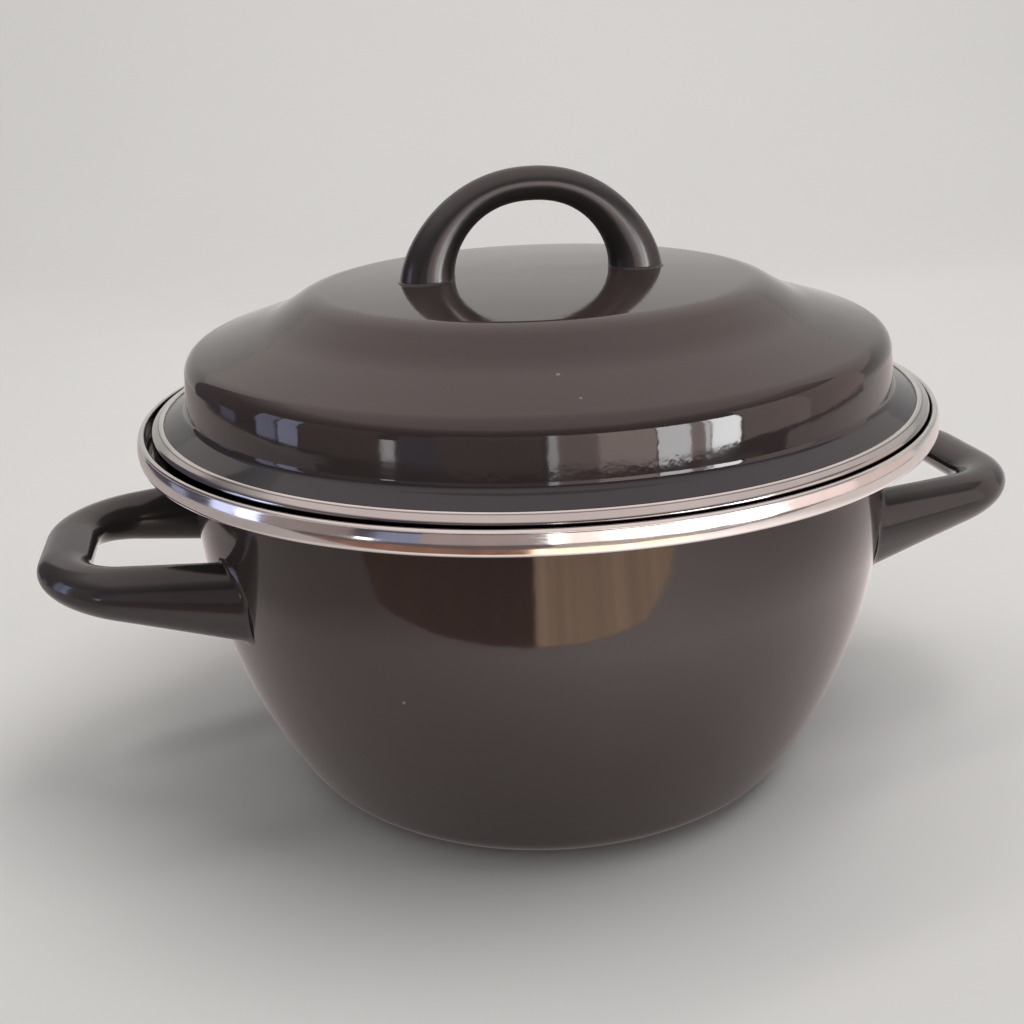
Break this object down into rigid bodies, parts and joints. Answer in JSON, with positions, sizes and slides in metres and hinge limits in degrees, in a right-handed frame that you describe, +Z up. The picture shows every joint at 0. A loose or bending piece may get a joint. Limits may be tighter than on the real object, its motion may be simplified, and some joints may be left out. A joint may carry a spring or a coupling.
{
  "type": "cooking pot",
  "caption": "Enamelled steel cooking pot with a bowl-shaped body, loop side handles, steel-banded rim and a stepped domed lid with a bow handle.",
  "frame": {"origin": "middle of the flat base, on the surface that the pot stands on", "axes": "+Z up through the middle of the pot, +X towards the right side handle, +Y away from a viewer who faces the pot with the handles left and right"},
  "size_m": [0.2918, 0.23, 0.1773],
  "materials": {
    "enamel": "glossy fired enamel, dark brown grey",
    "steel_band": "bright polished stainless steel"
  },
  "bodies": {
    "root": {"pot_body": "enamel", "pot_rim": "steel_band", "handle_left": "enamel", "handle_right": "enamel", "lid_shell": "enamel", "lid_rim": "steel_band", "lid_handle": "enamel"}
  },
  "joints": []
}
